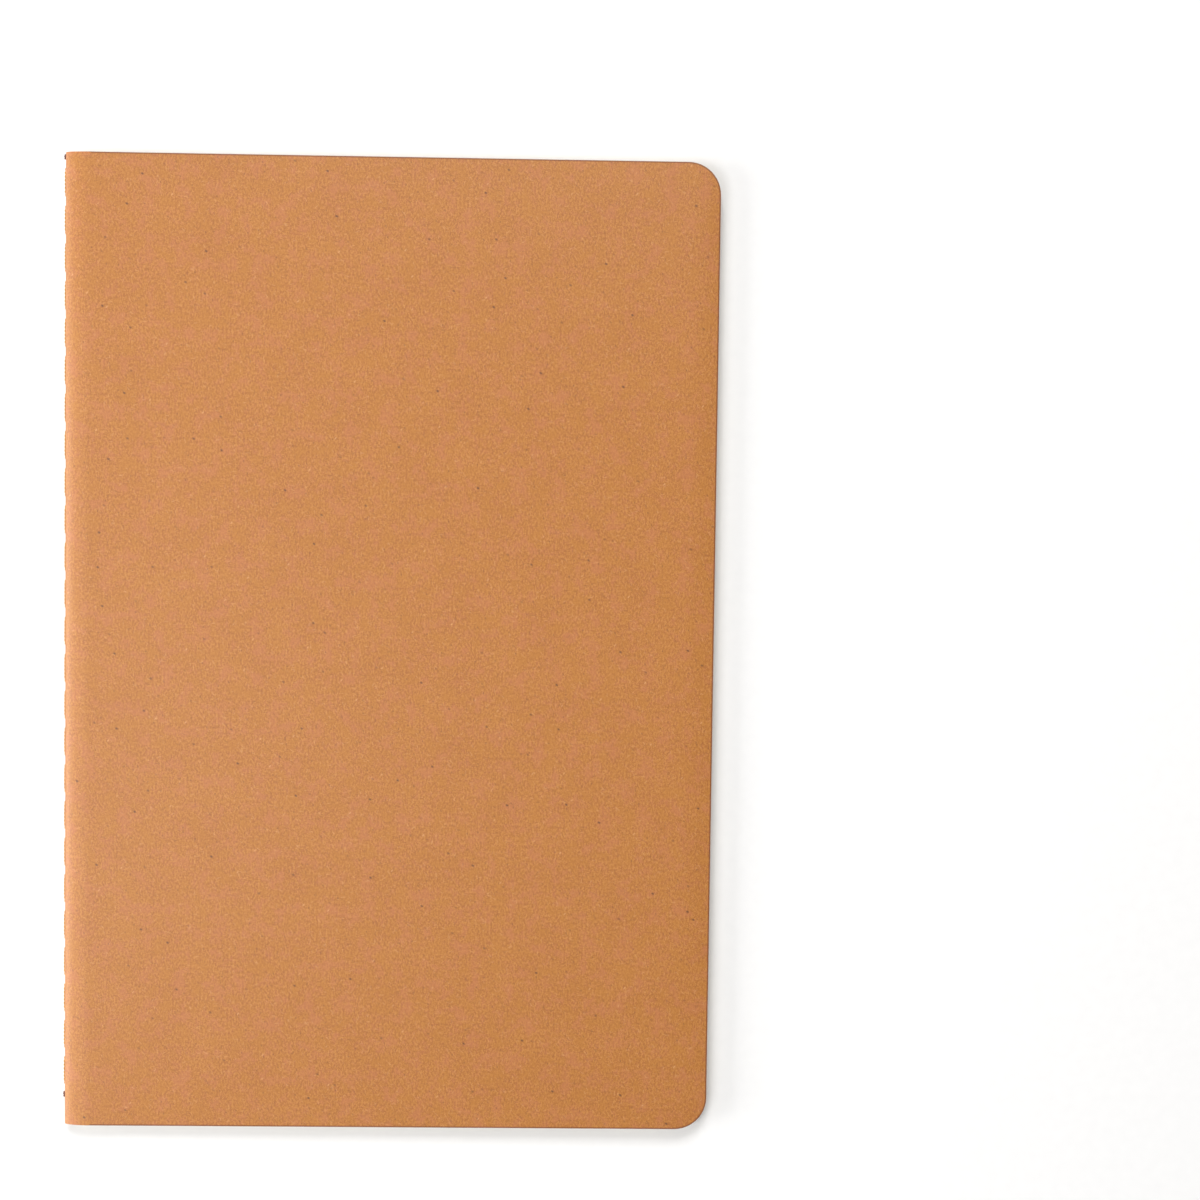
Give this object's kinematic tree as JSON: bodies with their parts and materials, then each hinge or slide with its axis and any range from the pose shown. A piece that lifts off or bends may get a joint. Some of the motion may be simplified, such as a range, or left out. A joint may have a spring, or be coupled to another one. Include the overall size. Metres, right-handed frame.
{
  "type": "notebook",
  "caption": "Slim sewn notebook with a soft kraft card cover, rounded fore-edge corners and cream pages that open on a thread-sewn fold.",
  "frame": {"origin": "centre of the closed notebook's footprint, on the underside of the back cover", "axes": "+X from the spine to the fore-edge, +Y from the tail edge to the head edge, +Z out of the front cover"},
  "size_m": [0.1404, 0.21, 0.004],
  "materials": {
    "kraft_card": "uncoated recycled kraft card",
    "page_paper": "uncoated cream text paper",
    "sewing_thread": "twisted amber thread",
    "sealed_knot": "knotted thread sealed with russet glue"
  },
  "bodies": {
    "back_cover": {"back_cover": "kraft_card", "leaf_30": "page_paper"},
    "spine": {"cover_spine": "kraft_card", "fold_01": "page_paper", "fold_02": "page_paper", "fold_03": "page_paper", "fold_04": "page_paper", "fold_05": "page_paper", "fold_06": "page_paper", "fold_07": "page_paper", "fold_08": "page_paper", "fold_09": "page_paper", "fold_10": "page_paper", "fold_11": "page_paper", "fold_12": "page_paper", "fold_13": "page_paper", "fold_14": "page_paper", "fold_15": "page_paper", "outer_thread": "sewing_thread", "inner_thread": "sewing_thread", "head_knot": "sealed_knot", "tail_knot": "sealed_knot"},
    "leaf_01": {"leaf_01": "page_paper"},
    "leaf_02": {"leaf_02": "page_paper"},
    "leaf_03": {"leaf_03": "page_paper"},
    "leaf_04": {"leaf_04": "page_paper"},
    "leaf_05": {"leaf_05": "page_paper"},
    "leaf_06": {"leaf_06": "page_paper"},
    "leaf_07": {"leaf_07": "page_paper"},
    "leaf_08": {"leaf_08": "page_paper"},
    "leaf_09": {"leaf_09": "page_paper"},
    "leaf_10": {"leaf_10": "page_paper"},
    "leaf_11": {"leaf_11": "page_paper"},
    "leaf_12": {"leaf_12": "page_paper"},
    "leaf_13": {"leaf_13": "page_paper"},
    "leaf_14": {"leaf_14": "page_paper"},
    "leaf_15": {"leaf_15": "page_paper"},
    "leaf_16": {"leaf_16": "page_paper"},
    "leaf_17": {"leaf_17": "page_paper"},
    "leaf_18": {"leaf_18": "page_paper"},
    "leaf_19": {"leaf_19": "page_paper"},
    "leaf_20": {"leaf_20": "page_paper"},
    "leaf_21": {"leaf_21": "page_paper"},
    "leaf_22": {"leaf_22": "page_paper"},
    "leaf_23": {"leaf_23": "page_paper"},
    "leaf_24": {"leaf_24": "page_paper"},
    "leaf_25": {"leaf_25": "page_paper"},
    "leaf_26": {"leaf_26": "page_paper"},
    "leaf_27": {"leaf_27": "page_paper"},
    "leaf_28": {"leaf_28": "page_paper"},
    "leaf_29": {"leaf_29": "page_paper"},
    "front_cover": {"front_cover": "kraft_card"}
  },
  "joints": [
    {"name": "centre_opening", "type": "hinge", "parent": "back_cover", "child": "leaf_01", "pos_m": [-0.0678, 0, 0.002], "axis": [0, -1, 0], "range_deg": [0, 179.5], "deforming": ["cover_spine", "fold_01", "fold_02", "fold_03", "fold_04", "fold_05", "fold_06", "fold_07", "fold_08", "fold_09", "fold_10", "fold_11", "fold_12", "fold_13", "fold_14", "fold_15"]},
    {"name": "leaf_29_turn", "type": "hinge", "parent": "back_cover", "child": "leaf_29", "pos_m": [-0.0678, 0, 0.002], "axis": [0, -1, 0], "range_deg": [0, 4]},
    {"name": "leaf_28_turn", "type": "hinge", "parent": "back_cover", "child": "leaf_28", "pos_m": [-0.0678, 0, 0.002], "axis": [0, -1, 0], "range_deg": [0, 4]},
    {"name": "leaf_27_turn", "type": "hinge", "parent": "back_cover", "child": "leaf_27", "pos_m": [-0.0678, 0, 0.002], "axis": [0, -1, 0], "range_deg": [0, 4]},
    {"name": "leaf_26_turn", "type": "hinge", "parent": "back_cover", "child": "leaf_26", "pos_m": [-0.0678, 0, 0.002], "axis": [0, -1, 0], "range_deg": [0, 4]},
    {"name": "leaf_25_turn", "type": "hinge", "parent": "back_cover", "child": "leaf_25", "pos_m": [-0.0678, 0, 0.002], "axis": [0, -1, 0], "range_deg": [0, 4]},
    {"name": "leaf_24_turn", "type": "hinge", "parent": "back_cover", "child": "leaf_24", "pos_m": [-0.0678, 0, 0.002], "axis": [0, -1, 0], "range_deg": [0, 4]},
    {"name": "leaf_23_turn", "type": "hinge", "parent": "back_cover", "child": "leaf_23", "pos_m": [-0.0678, 0, 0.002], "axis": [0, -1, 0], "range_deg": [0, 4]},
    {"name": "leaf_22_turn", "type": "hinge", "parent": "back_cover", "child": "leaf_22", "pos_m": [-0.0678, 0, 0.002], "axis": [0, -1, 0], "range_deg": [0, 4]},
    {"name": "leaf_21_turn", "type": "hinge", "parent": "back_cover", "child": "leaf_21", "pos_m": [-0.0678, 0, 0.002], "axis": [0, -1, 0], "range_deg": [0, 4]},
    {"name": "leaf_20_turn", "type": "hinge", "parent": "back_cover", "child": "leaf_20", "pos_m": [-0.0678, 0, 0.002], "axis": [0, -1, 0], "range_deg": [0, 4]},
    {"name": "leaf_19_turn", "type": "hinge", "parent": "back_cover", "child": "leaf_19", "pos_m": [-0.0678, 0, 0.002], "axis": [0, -1, 0], "range_deg": [0, 4]},
    {"name": "leaf_18_turn", "type": "hinge", "parent": "back_cover", "child": "leaf_18", "pos_m": [-0.0678, 0, 0.002], "axis": [0, -1, 0], "range_deg": [0, 4]},
    {"name": "leaf_17_turn", "type": "hinge", "parent": "back_cover", "child": "leaf_17", "pos_m": [-0.0678, 0, 0.002], "axis": [0, -1, 0], "range_deg": [0, 4]},
    {"name": "leaf_16_turn", "type": "hinge", "parent": "back_cover", "child": "leaf_16", "pos_m": [-0.0678, 0, 0.002], "axis": [0, -1, 0], "range_deg": [0, 4]},
    {"name": "leaf_15_turn", "type": "hinge", "parent": "leaf_16", "child": "leaf_15", "pos_m": [-0.0678, 0, 0.002], "axis": [0, -1, 0], "range_deg": [0, 179.5]},
    {"name": "leaf_14_turn", "type": "hinge", "parent": "leaf_17", "child": "leaf_14", "pos_m": [-0.0678, 0, 0.002], "axis": [0, -1, 0], "range_deg": [0, 179.5]},
    {"name": "leaf_13_turn", "type": "hinge", "parent": "leaf_18", "child": "leaf_13", "pos_m": [-0.0678, 0, 0.002], "axis": [0, -1, 0], "range_deg": [0, 179.5]},
    {"name": "leaf_12_turn", "type": "hinge", "parent": "leaf_19", "child": "leaf_12", "pos_m": [-0.0678, 0, 0.002], "axis": [0, -1, 0], "range_deg": [0, 179.5]},
    {"name": "leaf_11_turn", "type": "hinge", "parent": "leaf_20", "child": "leaf_11", "pos_m": [-0.0678, 0, 0.002], "axis": [0, -1, 0], "range_deg": [0, 179.5]},
    {"name": "leaf_10_turn", "type": "hinge", "parent": "leaf_21", "child": "leaf_10", "pos_m": [-0.0678, 0, 0.002], "axis": [0, -1, 0], "range_deg": [0, 179.5]},
    {"name": "leaf_09_turn", "type": "hinge", "parent": "leaf_22", "child": "leaf_09", "pos_m": [-0.0678, 0, 0.002], "axis": [0, -1, 0], "range_deg": [0, 179.5]},
    {"name": "leaf_08_turn", "type": "hinge", "parent": "leaf_23", "child": "leaf_08", "pos_m": [-0.0678, 0, 0.002], "axis": [0, -1, 0], "range_deg": [0, 179.5]},
    {"name": "leaf_07_turn", "type": "hinge", "parent": "leaf_24", "child": "leaf_07", "pos_m": [-0.0678, 0, 0.002], "axis": [0, -1, 0], "range_deg": [0, 179.5]},
    {"name": "leaf_06_turn", "type": "hinge", "parent": "leaf_25", "child": "leaf_06", "pos_m": [-0.0678, 0, 0.002], "axis": [0, -1, 0], "range_deg": [0, 179.5]},
    {"name": "leaf_05_turn", "type": "hinge", "parent": "leaf_26", "child": "leaf_05", "pos_m": [-0.0678, 0, 0.002], "axis": [0, -1, 0], "range_deg": [0, 179.5]},
    {"name": "leaf_04_turn", "type": "hinge", "parent": "leaf_27", "child": "leaf_04", "pos_m": [-0.0678, 0, 0.002], "axis": [0, -1, 0], "range_deg": [0, 179.5]},
    {"name": "leaf_03_turn", "type": "hinge", "parent": "leaf_28", "child": "leaf_03", "pos_m": [-0.0678, 0, 0.002], "axis": [0, -1, 0], "range_deg": [0, 179.5]},
    {"name": "leaf_02_turn", "type": "hinge", "parent": "leaf_29", "child": "leaf_02", "pos_m": [-0.0678, 0, 0.002], "axis": [0, -1, 0], "range_deg": [0, 179.5]},
    {"name": "spine_bend", "type": "hinge", "parent": "back_cover", "child": "spine", "pos_m": [-0.0678, 0, 0.002], "axis": [0, -1, 0], "range_deg": [0, 89.75]},
    {"name": "front_cover_hinge", "type": "hinge", "parent": "leaf_01", "child": "front_cover", "pos_m": [-0.0678, 0, 0.00405], "axis": [0, -1, 0], "range_deg": [0, 179]}
  ],
  "couplings": [
    {"joint": "leaf_29_turn", "follows": "centre_opening", "ratio": 0.00143},
    {"joint": "leaf_28_turn", "follows": "centre_opening", "ratio": 0.00286},
    {"joint": "leaf_27_turn", "follows": "centre_opening", "ratio": 0.00429},
    {"joint": "leaf_26_turn", "follows": "centre_opening", "ratio": 0.00571},
    {"joint": "leaf_25_turn", "follows": "centre_opening", "ratio": 0.00714},
    {"joint": "leaf_24_turn", "follows": "centre_opening", "ratio": 0.00857},
    {"joint": "leaf_23_turn", "follows": "centre_opening", "ratio": 0.01},
    {"joint": "leaf_22_turn", "follows": "centre_opening", "ratio": 0.01143},
    {"joint": "leaf_21_turn", "follows": "centre_opening", "ratio": 0.01286},
    {"joint": "leaf_20_turn", "follows": "centre_opening", "ratio": 0.01429},
    {"joint": "leaf_19_turn", "follows": "centre_opening", "ratio": 0.01571},
    {"joint": "leaf_18_turn", "follows": "centre_opening", "ratio": 0.01714},
    {"joint": "leaf_17_turn", "follows": "centre_opening", "ratio": 0.01857},
    {"joint": "leaf_16_turn", "follows": "centre_opening", "ratio": 0.02},
    {"joint": "leaf_15_turn", "follows": "centre_opening", "ratio": 0.96},
    {"joint": "leaf_14_turn", "follows": "centre_opening", "ratio": 0.96286},
    {"joint": "leaf_13_turn", "follows": "centre_opening", "ratio": 0.96571},
    {"joint": "leaf_12_turn", "follows": "centre_opening", "ratio": 0.96857},
    {"joint": "leaf_11_turn", "follows": "centre_opening", "ratio": 0.97143},
    {"joint": "leaf_10_turn", "follows": "centre_opening", "ratio": 0.97429},
    {"joint": "leaf_09_turn", "follows": "centre_opening", "ratio": 0.97714},
    {"joint": "leaf_08_turn", "follows": "centre_opening", "ratio": 0.98},
    {"joint": "leaf_07_turn", "follows": "centre_opening", "ratio": 0.98286},
    {"joint": "leaf_06_turn", "follows": "centre_opening", "ratio": 0.98571},
    {"joint": "leaf_05_turn", "follows": "centre_opening", "ratio": 0.98857},
    {"joint": "leaf_04_turn", "follows": "centre_opening", "ratio": 0.99143},
    {"joint": "leaf_03_turn", "follows": "centre_opening", "ratio": 0.99429},
    {"joint": "leaf_02_turn", "follows": "centre_opening", "ratio": 0.99714},
    {"joint": "spine_bend", "follows": "centre_opening", "ratio": 0.5}
  ]
}
